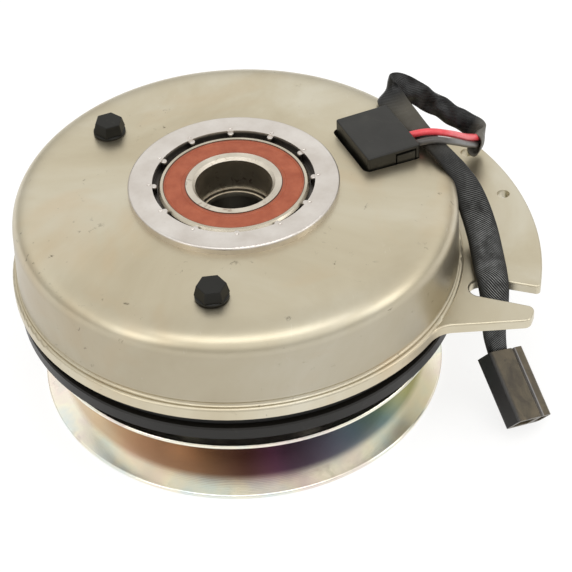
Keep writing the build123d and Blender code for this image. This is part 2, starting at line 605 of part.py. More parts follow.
def pulley_hub():
    """Turned ring that holds the pulley bearing; its flange is riveted under the webs."""
    flange_top = WEB_MID_Z - SHEET
    hub = turned_outline([
        (PULLEY_BORE_R, PULLEY_HUB_LOW_Z), (PULLEY_HUB_R - 1, PULLEY_HUB_LOW_Z),
        (PULLEY_HUB_R, PULLEY_HUB_LOW_Z + 1), (PULLEY_HUB_R, flange_top - HUB_FLANGE_THICK),
        (HUB_FLANGE_R, flange_top - HUB_FLANGE_THICK), (HUB_FLANGE_R, flange_top),
        (PULLEY_HUB_R, flange_top), (PULLEY_HUB_R, PULLEY_HUB_TOP_Z), (BEARING_STOP_R, PULLEY_HUB_TOP_Z),
        (BEARING_STOP_R, PULLEY_BEARING_TOP_Z), (PULLEY_BORE_R, PULLEY_BEARING_TOP_Z),
        (PULLEY_BORE_R, PULLEY_BEARING_LOW_Z), (PULLEY_BORE_R + 1.4, PULLEY_BEARING_LOW_Z),
        (PULLEY_BORE_R + 1.4, CLIP_LOW_Z), (PULLEY_BORE_R, CLIP_LOW_Z)])
    for azimuth in hub_rivet_degs():
        x, y, _ = polar(HUB_RIVET_PITCH_R, azimuth)
        hub -= Pos(x, y) * disc(RIVET_R, PULLEY_HUB_LOW_Z - 1, flange_top + 1)
    return single(hub)


def hub_rivets():
    low = WEB_MID_Z - SHEET - HUB_FLANGE_THICK
    profile = [(0, low - 1.4), (RIVET_HEAD_R - 0.9, low - 1.4), (RIVET_HEAD_R - 0.3, low), (RIVET_R, low),
               (RIVET_R, WEB_TOP_Z), (RIVET_HEAD_R - 0.3, WEB_TOP_Z),
               (RIVET_HEAD_R - 0.9, WEB_TOP_Z + 1.4), (0, WEB_TOP_Z + 1.4)]
    rivet = single(turned_outline(profile))
    return Compound(children=[
        Pos(*polar(HUB_RIVET_PITCH_R, azimuth)) * rivet for azimuth in hub_rivet_degs()])


# ---- harness --------------------------------------------------------------------------------
def coil_plug():
    """Flat plug over the coil's terminals, in the shell's window."""
    low, high = PLUG_LOW_Z, PLUG_TOP_Z
    body = box(PLUG_LONG, PLUG_WIDE, low, high, at=(PLUG_MID_R, 0))
    body = fillet(body.edges().filter_by(Axis.Z), 1.0)
    body = fillet(body.faces().sort_by(Axis.Z)[-1].edges(), 0.6)
    outer_end = PLUG_MID_R + PLUG_LONG / 2
    near_side = -PLUG_WIDE / 2
    latch_pocket = box(9.5, 2.4, low - 1, high - 1.5, at=(outer_end - 6.4, near_side))
    latch = box(8.3, 1.3, low + 1.0, high - 2.7, at=(outer_end - 6.4, near_side + 0.55))
    body = body - latch_pocket + latch
    for side in (-1, 1):
        at = (PLUG_MID_R, side * TERMINAL_PITCH / 2)
        body -= box(BLADE_LONG + 0.6, BLADE_THICK + 0.6, low - 1, low + BLADE_HIGH + 0.4, at=at)
    return single(at_azimuth(PLUG_DEG, body))


def engine_plug():
    """Two-way plug on the harness's far end: flat body, side lobe, and open cavities at its tip."""
    wide, long, thick = ENGINE_PLUG_SIZE
    body = Pos(ENGINE_PLUG_STEP / 2, long / 2, thick / 2) * Box(ENGINE_PLUG_STEP, long, thick)
    body = fillet(body.edges().filter_by(Axis.Y), ENGINE_PLUG_EDGE)
    lobe_wide = wide - ENGINE_PLUG_STEP + ENGINE_PLUG_LAP
    lobe = Pos(wide - lobe_wide / 2, long / 2, thick / 2) * Box(lobe_wide, long, thick)
    lobe = fillet(lobe.edges().filter_by(Axis.Y), ENGINE_PLUG_LOBE_EDGE)
    body += lobe
    groove_wide, groove_deep = ENGINE_PLUG_GROOVE
    body -= Pos(ENGINE_PLUG_GROOVE_X, long / 2, 0) * Box(groove_wide, 2 * long, 2 * groove_deep)
    for centre_x, cavity_wide in ENGINE_PLUG_CAVITIES:
        body -= Pos(centre_x, long - CAVITY_DEEP / 2, thick / 2) * Box(cavity_wide, CAVITY_DEEP, CAVITY_HIGH)
    return single(ENGINE_PLUG_PLACE * body)


def engine_plug_terminals():
    """Two flat sockets standing in the plug's cavities."""
    _, long, thick = ENGINE_PLUG_SIZE
    sockets = [
        Pos(centre_x, long - CAVITY_DEEP + 4, thick / 2) * Box(cavity_wide - 2.0, 8, 1.2)
        for centre_x, cavity_wide in ENGINE_PLUG_CAVITIES]
    return Compound(children=[ENGINE_PLUG_PLACE * socket for socket in sockets])


def cord(name, route, radius):
    """A plain round tube along straight runs joined by tangent arcs."""
    points = [Vector(*point) for point in route]
    runs = [b - a for a, b in zip(points, points[1:])]
    radii = []
    for before, after in zip(runs, runs[1:]):
        half_turn = radians(before.get_angle(after)) / 2
        radii.append(0.45 * min(before.length, after.length) / tan(half_turn))
    path = FilletPolyline(*points, radius=radii)
    section = Plane(origin=points[0], z_dir=runs[0]) * Circle(radius)
    body = sweep(section, path=path)
    length = path.length
    share = body.volume / (pi * radius**2 * length)
    print(name, "length", round(length, 1), "volume share", round(share, 4),
          "radii", [round(r, 1) for r in radii])
    return single(body)


PARTS = {
    "field_shell": field_shell,
    "bearing_housing": bearing_housing,
    "coil_bobbin": coil_bobbin,
    "coil_winding": coil_winding,
    "coil_wrap": coil_wrap,
    "terminal_header": terminal_header,
    "header_terminals": header_terminals,
    "field_screws": field_screws,
    "field_bearing_outer_ring": lambda: outer_ring(BEARING_R, FIELD_PITCH_R, BEARING_LOW_Z, BEARING_WIDE),
    "field_bearing_inner_ring": lambda: inner_ring(
        BEARING_BORE_R, 1.1, FIELD_PITCH_R, BEARING_LOW_Z, BEARING_WIDE),
    "field_bearing_balls": lambda: balls(FIELD_PITCH_R, FIELD_BALLS, FIELD_BALL_Z),
    "field_bearing_cage": lambda: cage(FIELD_PITCH_R, FIELD_BALLS, FIELD_BALL_Z),
    "field_bearing_upper_seal": lambda: seal(FIELD_PITCH_R, BEARING_TOP_Z - SEAL_INSET - SEAL_THICK, True),
    "field_bearing_lower_seal": lambda: seal(FIELD_PITCH_R, BEARING_LOW_Z + SEAL_INSET, False),
    "rotor_hub": rotor_hub,
    "rotor": rotor,
    "friction_ring": friction_ring,
    "hub_retaining_ring": lambda: clip(CLIP_GROOVE_R, CLIP_GROOVE_R + 3.6, CLIP_LOW_Z, 40),
    "armature_plate": armature_plate,
    "armature_rivets": armature_rivets,
    "leaf_springs": leaf_springs,
    "spring_posts": spring_posts,
    "post_rivets": post_rivets,
    "pulley_upper_half": pulley_upper_half,
    "pulley_lower_half": pulley_lower_half,
    "pulley_hub": pulley_hub,
    "hub_rivets": hub_rivets,
    "pulley_retaining_ring": lambda: clip(PULLEY_BORE_R - 2.0, PULLEY_BORE_R + 1.4, CLIP_LOW_Z, 30),
    "pulley_bearing_outer_ring": lambda: outer_ring(
        PULLEY_BORE_R, PULLEY_PITCH_R, PULLEY_BEARING_LOW_Z, PULLEY_BEARING_WIDE),
    "pulley_bearing_inner_ring": lambda: inner_ring(
        PULLEY_BEARING_BORE_R, 0.8, PULLEY_PITCH_R, PULLEY_BEARING_LOW_Z, PULLEY_BEARING_WIDE),
    "pulley_bearing_balls": lambda: balls(PULLEY_PITCH_R, PULLEY_BALLS, PULLEY_BALL_Z),
    "pulley_bearing_cage": lambda: cage(PULLEY_PITCH_R, PULLEY_BALLS, PULLEY_BALL_Z),
    "pulley_bearing_upper_seal": lambda: seal(
        PULLEY_PITCH_R, PULLEY_BEARING_TOP_Z - SEAL_INSET - SEAL_THICK, True),
    "pulley_bearing_lower_seal": lambda: seal(PULLEY_PITCH_R, PULLEY_BEARING_LOW_Z + SEAL_INSET, False),
    "coil_plug": coil_plug,
    "red_lead": lambda: cord("red_lead", RED_ROUTE, LEAD_R),
    "black_lead": lambda: cord("black_lead", BLACK_ROUTE, LEAD_R),
    "wiring_sleeve": lambda: cord("wiring_sleeve", SLEEVE_ROUTE, SLEEVE_R),
    "engine_plug": engine_plug,
    "engine_plug_terminals": engine_plug_terminals,
}


def main():
    os.makedirs("parts", exist_ok=True)
    for name, make in PARTS.items():
        export_step(make(), f"parts/{name}.step")


if __name__ == "__main__":
    main()
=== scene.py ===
"""Visual model of an electric clutch with a belt pulley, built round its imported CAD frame."""
from math import cos, exp, pi, radians, sin

import bpy
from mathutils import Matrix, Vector, noise


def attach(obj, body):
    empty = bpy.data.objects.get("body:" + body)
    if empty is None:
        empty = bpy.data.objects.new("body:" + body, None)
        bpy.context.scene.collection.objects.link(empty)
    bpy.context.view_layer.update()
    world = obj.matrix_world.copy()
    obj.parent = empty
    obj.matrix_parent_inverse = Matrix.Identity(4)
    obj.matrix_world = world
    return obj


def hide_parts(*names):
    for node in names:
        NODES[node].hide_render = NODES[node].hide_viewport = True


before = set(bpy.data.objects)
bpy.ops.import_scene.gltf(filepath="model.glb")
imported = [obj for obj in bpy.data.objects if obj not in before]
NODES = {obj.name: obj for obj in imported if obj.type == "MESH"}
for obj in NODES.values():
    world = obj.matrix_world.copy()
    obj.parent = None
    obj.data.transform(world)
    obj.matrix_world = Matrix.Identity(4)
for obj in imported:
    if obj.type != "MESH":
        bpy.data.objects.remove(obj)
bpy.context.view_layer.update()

MM = 0.001


# ---- camera ---------------------------------------------------------------------------------
LENS = 119.38
CAMERA_PLACE = (0.0, -0.60767, 0.57592)
CAMERA_TURN = (48.466, 1.796, -3.431)     # degrees


def make_camera():
    """The camera of the photograph, above and in front of the clutch."""
    data = bpy.data.cameras.new("camera")
    data.sensor_width = 36.0
    data.lens = LENS
    data.clip_start = 0.05
    camera = bpy.data.objects.new("camera", data)
    camera.location = CAMERA_PLACE
    camera.rotation_euler = [radians(angle) for angle in CAMERA_TURN]
    bpy.context.scene.collection.objects.link(camera)
    bpy.context.scene.camera = camera


# ---- cords ----------------------------------------------------------------------------------
# Routes, widths and radii are in millimetres; the sleeve runs from its open mouth to the far plug
SLEEVE_ROUTE = (
    (106.6, 52.2, 67.0), (108.4, 54.6, 66.8), (110.2, 57.6, 67.4), (109.4, 60.6, 69.0),
    (104.6, 61.4, 72.6), (97.6, 60.4, 78.2), (89.2, 59.6, 85.4), (80.5, 59.2, 93.2),
    (73.0, 58.8, 98.0), (67.8, 55.0, 98.0), (70.0, 47.8, 96.0), (74.9, 37.4, 94.9),
    (79.8, 26.6, 94.9), (84.8, 16.8, 94.9), (89.7, 9.8, 92.7), (94.0, 6.4, 86.6),
    (97.4, 5.6, 78.4), (100.4, 3.4, 70.4), (102.6, -2.4, 64.0), (103.1, -12.0, 61.6),
    (103.0, -25.0, 61.8), (103.3, -32.4, 60.4), (103.9, -34.6, 52.5), (104.5, -33.2, 42.0),
    (104.5, -33.4, 32.0), (106.2, -37.0, 24.1))
# Direction of the flat sleeve's width at each point of its route
SLEEVE_WIDTH_DIRS = (
    (0.35, 0.15, 0.92), (0.25, 0.1, 0.96), (0.1, 0.25, 0.96), (0.0, 0.3, 0.95),
    (0.05, 0.35, 0.93), (0.1, 0.35, 0.93), (0.15, 0.35, 0.92), (0.25, 0.4, 0.88),
    (0.5, 0.45, 0.74), (0.65, 0.47, 0.60), (0.66, 0.62, 0.42), (0.75, 0.62, 0.15),
    (0.85, 0.5, 0.0), (0.85, 0.5, -0.1), (0.8, 0.55, -0.15), (0.8, 0.6, -0.1),
    (0.9, 0.4, 0.0), (0.96, 0.25, 0.0), (1.0, 0.05, 0.0), (1.0, 0.0, 0.0),
    (1.0, 0.0, 0.0), (1.0, 0.0, 0.0), (1.0, 0.0, 0.0), (0.98, 0.15, 0.0),
    (0.93, 0.35, -0.1), (0.85, 0.5, -0.25))
SLEEVE_HALF_WIDE = (
    6.2, 6.0, 5.7, 5.2, 4.7, 4.6, 4.7, 5.2, 5.8, 6.0, 6.0, 5.6, 4.7, 4.4, 4.9, 5.8, 6.5, 6.8,
    6.8, 6.8, 6.8, 6.4, 5.8, 5.4, 5.0, 4.4)
SLEEVE_HALF_THICK = (
    3.1, 2.7, 2.1, 1.8, 1.9, 2.0, 2.0, 1.8, 1.4, 1.3, 1.4, 1.6, 1.9, 2.0, 1.9, 1.8, 1.8, 1.9,
    2.0, 2.0, 2.0, 2.1, 2.2, 2.2, 2.2, 2.2)
RED_ROUTE = ((74.03, 22.85, 97.0), (78.4, 22.2, 98.7), (83.4, 21.6, 99.3), (89.0, 23.4, 96.8),
             (94.8, 31.2, 89.6), (101.2, 42.5, 79.2), (105.6, 50.4, 73.0), (108.8, 55.2, 69.0))
BLACK_ROUTE = ((76.18, 17.25, 96.8), (80.4, 16.6, 98.4), (85.0, 16.4, 98.9), (90.4, 19.4, 95.4),
               (95.4, 27.9, 88.0), (101.2, 40.8, 76.8), (105.2, 49.0, 70.2), (108.2, 54.4, 65.6))
LEAD_R = 1.5
SLEEVE_LENGTH = 0.214     # metres
# Each lead's piece, the CAD node it stands for, its route and its length in metres
LEADS = (("red_wire", "red_lead", RED_ROUTE, 0.062),
         ("black_wire", "black_lead", BLACK_ROUTE, 0.064))
# The far plug's direction across its broad face, and its left side along that direction in metres
PLUG_ACROSS = (0.767, 0.526, -0.368)
PLUG_LEFT = 0.04418


def curve_of(name, route, bevel=0.0):
    """A NURBS curve with the route's points as its control points."""
    data = bpy.data.curves.new(name, "CURVE")
    data.dimensions = "3D"
    data.resolution_u = 14
    spline = data.splines.new("NURBS")
    spline.points.add(len(route) - 1)
    for point, place in zip(spline.points, route):
        point.co = (*(value * MM for value in place), 1.0)
    spline.order_u = 3
    spline.use_endpoint_u = True
    data.bevel_depth = bevel * MM
    data.bevel_resolution = 8
    data.use_fill_caps = True
    obj = bpy.data.objects.new(name, data)
    bpy.context.scene.collection.objects.link(obj)
    return obj


def tube_of(name, route, radius):
    """A round mesh tube along the route's spline."""
    curve = curve_of("tube", route, radius)
    bpy.context.view_layer.update()
    mesh = bpy.data.meshes.new_from_object(curve)
    bpy.data.objects.remove(curve)
    for polygon in mesh.polygons:
        polygon.use_smooth = len(polygon.vertices) == 4
    obj = bpy.data.objects.new(name, mesh)
    bpy.context.scene.collection.objects.link(obj)
    return obj


def line_of(route):
    """Points along the route's spline."""
    obj = curve_of("route", route)
    bpy.context.view_layer.update()
    mesh = bpy.data.meshes.new_from_object(obj)
    points = [vertex.co.copy() for vertex in mesh.vertices]
    bpy.data.objects.remove(obj)
    bpy.data.meshes.remove(mesh)
    return points


def shares(points):
    """Each point's distance along the line as a share of the whole, and the whole."""
    total = [0.0]
    for a, b in zip(points, points[1:]):
        total.append(total[-1] + (b - a).length)
    return [value / total[-1] for value in total], total[-1]


def between(values, knots, share):
    """Linear interpolation of values given at rising knots."""
    for i in range(len(knots) - 1):
        if share <= knots[i + 1]:
            break
    t = (share - knots[i]) / max(knots[i + 1] - knots[i], 1e-9)
    t = min(max(t, 0.0), 1.0)
    return values[i] * (1 - t) + values[i + 1] * t


def mesh_object(name, verts, faces, uvs=None, smooth=True):
    """An object from vertices and faces, with one UV pair for each corner of each face."""
    mesh = bpy.data.meshes.new(name)
    mesh.from_pydata(verts, [], faces)
    if uvs:
        layer = mesh.uv_layers.new(name="uv")
        for loop, uv in zip(layer.data, uvs):
            loop.uv = uv
    for polygon in mesh.polygons:
        polygon.use_smooth = smooth
    mesh.validate()
    obj = bpy.data.objects.new(name, mesh)
    bpy.context.scene.collection.objects.link(obj)
    return obj


AROUND = 36               # points round the sleeve
WIDE_POWER = 0.75         # under 1 fills out the oval's ends
THICK_POWER = 0.8
TURN_SHARE = 0.35         # how fast the width follows its given direction
BUNCH_MIDDLE = 0.19       # share of the length where the sleeve is most rumpled
BUNCH_SPREAD = 0.11
CREASE_HIGH = 1.7
RIPPLE_HIGH = 0.28
EDGE_WAVE = 0.9
CREASES_ALONG = 46        # how fast each kind of unevenness changes along the sleeve
RIPPLES_ALONG = 16
WAVES_ALONG = 30
CREASES_ACROSS = 1.1      # across its width
RIPPLES_ACROSS = 0.8
CREASES_UP = 300          # and up through its thickness
WAVES_UP = 200
RIPPLES_START = 9         # places in the noise, so that the kinds differ
RIPPLES_LAYER = 3.1
WAVES_LAYER = 7.7
LIP_SHARE = 0.93          # the mouth's lip and inner wall against the outer wall
LIP_OUT = 0.15
INNER_SHARE = 0.84
INNER_DEPTHS = (0.1, 2.5, 3.6)


def sleeve_section(half_wide, half_thick):
    """A flattened oval, fuller at its two folded edges than an ellipse."""
    section = []
    for i in range(AROUND):
        angle = 2 * pi * i / AROUND
        c, s = cos(angle), sin(angle)
        across = half_wide * (abs(c) ** WIDE_POWER) * (1 if c >= 0 else -1)
        up = half_thick * (abs(s) ** THICK_POWER) * (1 if s >= 0 else -1)
        section.append((across, up))
    return section


def make_sleeve():
    """The flat braided sleeve, rumpled near its open mouth, with its centre line and girth."""
    points = line_of(SLEEVE_ROUTE)
    along, length = shares(points)
    knots, _ = shares([Vector(p) * MM for p in SLEEVE_ROUTE])
    dirs = [Vector(d).normalized() for d in SLEEVE_WIDTH_DIRS]
    rings, ring_us = [], []
    last = None
    for i, point in enumerate(points):
        tangent = (points[min(i + 1, len(points) - 1)] - points[max(i - 1, 0)]).normalized()
        wide = between(dirs, knots, along[i])
        wide = (wide - tangent * wide.dot(tangent)).normalized()
        if last is not None:
            wide = wide * TURN_SHARE + last * (1 - TURN_SHARE)
            wide = (wide - tangent * wide.dot(tangent)).normalized()
        last = wide
        normal = tangent.cross(wide)
        half_wide = between(SLEEVE_HALF_WIDE, knots, along[i]) * MM
        half_thick = between(SLEEVE_HALF_THICK, knots, along[i]) * MM
        bunch = exp(-((along[i] - BUNCH_MIDDLE) / BUNCH_SPREAD) ** 2)
        ring = []
        for across, up in sleeve_section(half_wide, half_thick):
            place = point + wide * across + normal * up
            crease = noise.noise(Vector((
                along[i] * CREASES_ALONG, across / half_wide * CREASES_ACROSS, up * CREASES_UP)))
            ripple = noise.noise(Vector((
                along[i] * RIPPLES_ALONG + RIPPLES_START, across / half_wide * RIPPLES_ACROSS,
                RIPPLES_LAYER)))
            wave = noise.noise(Vector((along[i] * WAVES_ALONG, WAVES_LAYER, up * WAVES_UP)))
            place += normal * (bunch * crease * CREASE_HIGH + ripple * RIPPLE_HIGH) * MM
            place += wide * (bunch * wave) * EDGE_WAVE * MM
            ring.append(place)
        rings.append(ring)
        ring_us.append(along[i] * length)
    # the open mouth: the wall turns inwards and runs a little way back inside
    centre = sum((v for v in rings[0]), Vector()) / AROUND
    inward = (points[1] - points[0]).normalized()
    lip = [centre + (v - centre) * LIP_SHARE - inward * LIP_OUT * MM for v in rings[0]]
    inner = [[centre + (v - centre) * INNER_SHARE + inward * depth * MM for v in rings[0]]
             for depth in INNER_DEPTHS]
    all_rings = inner[::-1] + [lip] + rings
    us = [0.0] * (len(inner) + 1) + ring_us
    verts = [tuple(v) for ring in all_rings for v in ring]
    faces, uvs = [], []
    around = [0.0]
    for a, b in zip(rings[0], rings[0][1:] + rings[0][:1]):
        around.append(around[-1] + (b - a).length)
    for r in range(len(all_rings) - 1):
        for k in range(AROUND):
            n = (k + 1) % AROUND
            low, high = r * AROUND, (r + 1) * AROUND
            faces.append((low + k, low + n, high + n, high + k))
            for u, v in ((us[r], k), (us[r], k + 1), (us[r + 1], k + 1), (us[r + 1], k)):
                uvs.append((u, around[v]))
    first = list(range(AROUND))[::-1]
    end = [(len(all_rings) - 1) * AROUND + k for k in range(AROUND)]
    for cap in (first, end):
        faces.append(cap)
        uvs.extend((0.0, 0.0) for _ in cap)
    obj = mesh_object("braided_sleeve", verts, faces, uvs)
    return obj, points, around[-1]


make_camera()
sleeve, sleeve_line, sleeve_girth = make_sleeve()
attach(sleeve, "field")
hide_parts("wiring_sleeve")
leads = {}
for lead_name, lead_node, lead_route, _ in LEADS:
    lead = tube_of(lead_name, lead_route, LEAD_R)
    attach(lead, "field")
    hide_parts(lead_node)
    leads[lead_name] = lead
for lead_name, _, lead_route, lead_length in LEADS:
    [tuple(p) for p in line_of(lead_route)]


# ---- materials ------------------------------------------------------------------------------
DECIMETRES = 10.0         # brings metres into a ramp's range
LATHE_LINES = 21000.0     # these four are in radians a metre
HOUSING_LINES = 26000.0
PULLEY_LINES = 9000.0
WINDING_LINES = 7000.0
THREAD_PITCH = 0.00115    # metres, and the braid's slant and its second thread's finer pitch
THREAD_SLANT = 1.1
SECOND_THREAD = 1.4


def level(value):
    """A ramp stop's colour that stands for a plain number."""
    return (value, value, value, 1)


NONE = level(0)
FULL = level(1)


def srgb(r, g, b):
    """The linear colour of an sRGB colour given from 0 to 255."""
    def linear(c):
        c /= 255
        return c / 12.92 if c <= 0.04045 else ((c + 0.055) / 1.055) ** 2.4
    return (linear(r), linear(g), linear(b), 1.0)


def shade(base, step):
    """An sRGB colour made lighter or darker by a step in each channel."""
    return srgb(*(min(max(value + step, 0), 255) for value in base))


class Shader:
    """A node tree with short calls for the nodes used here."""

    def __init__(self, name, base, metallic=0.0, roughness=0.5, **extra):
        self.material = bpy.data.materials.new(name)
        self.material.use_nodes = True
        self.tree = self.material.node_tree
        self.bsdf = self.tree.nodes["Principled BSDF"]
        self.bsdf.inputs["Base Color"].default_value = base
        self.bsdf.inputs["Metallic"].default_value = metallic
        self.bsdf.inputs["Roughness"].default_value = roughness
        for key, value in extra.items():
            self.bsdf.inputs[key.replace("_", " ")].default_value = value
        self.coord = self.tree.nodes.new("ShaderNodeTexCoord")

    def link(self, a, b):
        self.tree.links.new(a, b)

    def place(self, scale):
        """The point in the shared frame, stretched by scale."""
        mapping = self.tree.nodes.new("ShaderNodeMapping")
        mapping.inputs["Scale"].default_value = scale
        self.link(self.coord.outputs["Object"], mapping.inputs["Vector"])
        return mapping.outputs["Vector"]

    def noise(self, scale, detail=4.0, rough=0.55, distortion=0.0, stretch=(1, 1, 1)):
        node = self.tree.nodes.new("ShaderNodeTexNoise")
        node.inputs["Scale"].default_value = scale
        node.inputs["Detail"].default_value = detail
        node.inputs["Roughness"].default_value = rough
        node.inputs["Distortion"].default_value = distortion
        self.link(self.place(stretch), node.inputs["Vector"])
        return node.outputs["Fac"]

    def ramp(self, fac, stops):
        """A colour ramp through the stops, each a position and a colour."""
        node = self.tree.nodes.new("ShaderNodeValToRGB")
        elements = node.color_ramp.elements
        while len(elements) > 1:
            elements.remove(elements[-1])
        elements[0].position, elements[0].color = stops[0]
        for position, color in stops[1:]:
            elements.new(position).color = color
        self.link(fac, node.inputs["Fac"])
        return node.outputs["Color"]

    def math(self, operation, a, b=0.0, clamp=False):
        """The operation's result for two values, each a number or a socket."""
        node = self.tree.nodes.new("ShaderNodeMath")
        node.operation = operation
        node.use_clamp = clamp
        for socket, value in zip(node.inputs, (a, b)):
            if isinstance(value, (int, float)):
                socket.default_value = value
            else:
                self.link(value, socket)
        return node.outputs["Value"]

    def times(self, a, b):
        return self.math("MULTIPLY", a, b)

    def mix(self, fac, a, b):
        """The colour that runs from a to b as fac goes from 0 to 1."""
        node = self.tree.nodes.new("ShaderNodeMix")
        node.data_type = "RGBA"
        for socket, value in ((node.inputs[0], fac), (node.inputs[6], a), (node.inputs[7], b)):
            if isinstance(value, (int, float, tuple)):
                socket.default_value = value
            else:
                self.link(value, socket)
        return node.outputs[2]

    def grey(self, low, high, fac):
        """A number running from low to high as fac goes from 0 to 1."""
        return self.math("ADD", self.times(fac, high - low), low)

    def colored(self, color):
        self.link(color, self.bsdf.inputs["Base Color"])

    def roughened(self, low, high, fac):
        self.link(self.grey(low, high, fac), self.bsdf.inputs["Roughness"])

    def bump(self, height, strength, distance):
        """One more layer of bump on top of those before it."""
        node = self.tree.nodes.new("ShaderNodeBump")
        node.inputs["Strength"].default_value = strength
        node.inputs["Distance"].default_value = distance
        self.link(height, node.inputs["Height"])
        previous = self.bsdf.inputs["Normal"].links
        if previous:
            self.link(previous[0].from_socket, node.inputs["Normal"])
        self.link(node.outputs["Normal"], self.bsdf.inputs["Normal"])

    def polar(self):
        """The shaded point's radius, azimuth in turns and height, about the shaft."""
        split = self.tree.nodes.new("ShaderNodeSeparateXYZ")
        self.link(self.coord.outputs["Object"], split.inputs[0])
        x, y, z = split.outputs
        squares = self.math("ADD", self.times(x, x), self.times(y, y))
        radius = self.math("SQRT", squares)
        turn = self.math("DIVIDE", self.math("ARCTAN2", y, x), 2 * pi)
        return radius, self.math("FRACT", self.math("ADD", turn, 1.0)), z


def zinc():
    """Drawn steel with dull yellowish zinc, stained and rubbed, with painted shade on the wall under
    the shoulder.
    """
    s = Shader("zinc_plate", srgb(196, 187, 166), metallic=1.0, roughness=0.36)
    cloud = s.ramp(s.noise(14, 5, 0.6, 0.6), [(0.3, srgb(192, 181, 156)), (0.5, srgb(202, 193, 170)),
                                              (0.68, srgb(212, 206, 188))])
    warm = s.ramp(s.noise(22, 3, 0.5, 1.0, (1, 1, 1.4)), [(0.55, NONE), (0.78, FULL)])
    color = s.mix(s.times(warm, 0.35), cloud, srgb(205, 176, 136))
    fleck = s.ramp(s.noise(240, 6, 0.7, 0.6), [(0.63, NONE), (0.7, FULL)])
    patch = s.ramp(s.noise(24, 2), [(0.46, NONE), (0.6, FULL)])
    dirt = s.times(s.times(fleck, patch), 0.8)
    color = s.mix(dirt, color, srgb(92, 84, 70))
    scratch = s.ramp(s.noise(60, 5, 0.6, 2.5, (7, 1, 1)), [(0.70, NONE), (0.73, FULL)])
    color = s.mix(s.times(scratch, 0.25), color, srgb(235, 232, 226))
    # painted shade: the wall under the shoulder is painted darker than the top, as the shaded band
    # under the shoulder's highlight
    _, _, z = s.polar()
    wall_painted_shade = s.ramp(s.times(z, DECIMETRES), [
        (0.585, NONE), (0.63, FULL), (0.84, FULL), (0.885, NONE)])
    color = s.mix(s.times(wall_painted_shade, 0.45), color, srgb(136, 127, 110))
    s.colored(color)
    s.roughened(0.29, 0.44, s.noise(30, 5, 0.65))
    s.bump(s.noise(900, 4, 0.6), 0.05, 0.0004)
    s.bump(s.noise(38, 3, 0.5), 0.03, 0.0010)
    return s.material


def housing():
    """The bearing housing's bright zinc, with painted shade in the staked recess over the bearing.
    """
    s = Shader("housing_zinc", srgb(214, 208, 202), metallic=1.0, roughness=0.34)
    cloud = s.ramp(s.noise(60, 5, 0.6), [(0.35, srgb(204, 197, 190)), (0.65, srgb(224, 219, 214))])
    fleck = s.ramp(s.noise(500, 5, 0.7), [(0.68, NONE), (0.76, FULL)])
    # painted shade: the recess inside the staked edge is painted dark
    radius, _, z = s.polar()
    inside = s.ramp(s.times(radius, DECIMETRES), [(0.332, FULL), (0.336, NONE)])
    under = s.ramp(s.times(z, DECIMETRES), [(0.958, FULL), (0.9665, NONE)])
    recess = s.times(s.times(inside, under), 0.9)
    color = s.mix(s.times(fleck, 0.5), cloud, srgb(120, 112, 100))
    s.colored(s.mix(recess, color, srgb(38, 35, 31)))
    rings = s.math("SINE", s.times(radius, HOUSING_LINES))
    s.roughened(0.26, 0.42, s.noise(120, 4))
    s.bump(rings, 0.035, 0.0001)
    s.bump(s.noise(700, 4, 0.6), 0.05, 0.0003)
    return s.material


def rainbow_zinc():
    """Chromate over zinc: interference colours that drift round the pulley, and a painted reflection
    on its lips.
    """
    s = Shader("iridescent_zinc", srgb(200, 185, 150), metallic=1.0, roughness=0.2)
    radius, turn, _ = s.polar()
    drift = s.math("ADD", turn, s.times(s.math("SUBTRACT", s.noise(16, 3), 0.5), 0.09))
    tint = s.ramp(drift, [
        (0.0, srgb(196, 192, 150)), (0.10, srgb(208, 192, 160)), (0.22, srgb(190, 200, 196)),
        (0.34, srgb(214, 200, 170)), (0.50, srgb(214, 200, 172)), (0.58, srgb(216, 196, 172)),
        (0.64, srgb(202, 176, 154)), (0.70, srgb(172, 148, 128)), (0.74, srgb(146, 120, 112)),
        (0.775, srgb(152, 122, 140)), (0.80, srgb(132, 118, 130)), (0.845, srgb(146, 148, 158)),
        (0.885, srgb(136, 156, 158)), (0.93, srgb(176, 178, 136)), (1.0, srgb(196, 192, 150))])
    # painted reflection: the lips are painted paler than the groove's walls, mottled with painted
    # glints
    rim_painted_reflection = s.ramp(s.times(radius, DECIMETRES), [(0.775, NONE), (0.80, FULL)])
    pale = s.ramp(s.noise(30, 4), [(0.35, srgb(222, 236, 238)), (0.5, srgb(250, 246, 228)),
                                   (0.6, srgb(242, 230, 222)), (0.7, srgb(218, 224, 214))])
    color = s.mix(s.times(rim_painted_reflection, 0.9), tint, pale)
    stain = s.ramp(s.noise(70, 5, 0.65), [(0.58, NONE), (0.72, FULL)])
    color = s.mix(s.times(stain, 0.3), color, srgb(120, 104, 70))
    s.colored(color)
    s.roughened(0.12, 0.32, s.noise(40, 5, 0.6))
    s.bump(s.noise(800, 4, 0.6), 0.04, 0.0003)
    s.bump(s.math("SINE", s.times(radius, PULLEY_LINES)), 0.03, 0.0001)
    return s.material


def black_coat(name="black_phosphate", base=(17, 16, 11), roughness=0.42):
    """Black coated steel, a little lighter where it is worn."""
    s = Shader(name, srgb(*base), metallic=0.0, roughness=roughness, Specular_IOR_Level=0.3)
    worn = s.ramp(s.noise(180, 6, 0.7, 0.5), [(0.6, NONE), (0.72, FULL)])
    s.colored(s.mix(s.times(worn, 0.6), srgb(*base), shade(base, 30)))
    s.roughened(roughness - 0.1, roughness + 0.12, s.noise(90, 4))
    s.bump(s.noise(1100, 4, 0.65), 0.12, 0.0003)
    return s.material


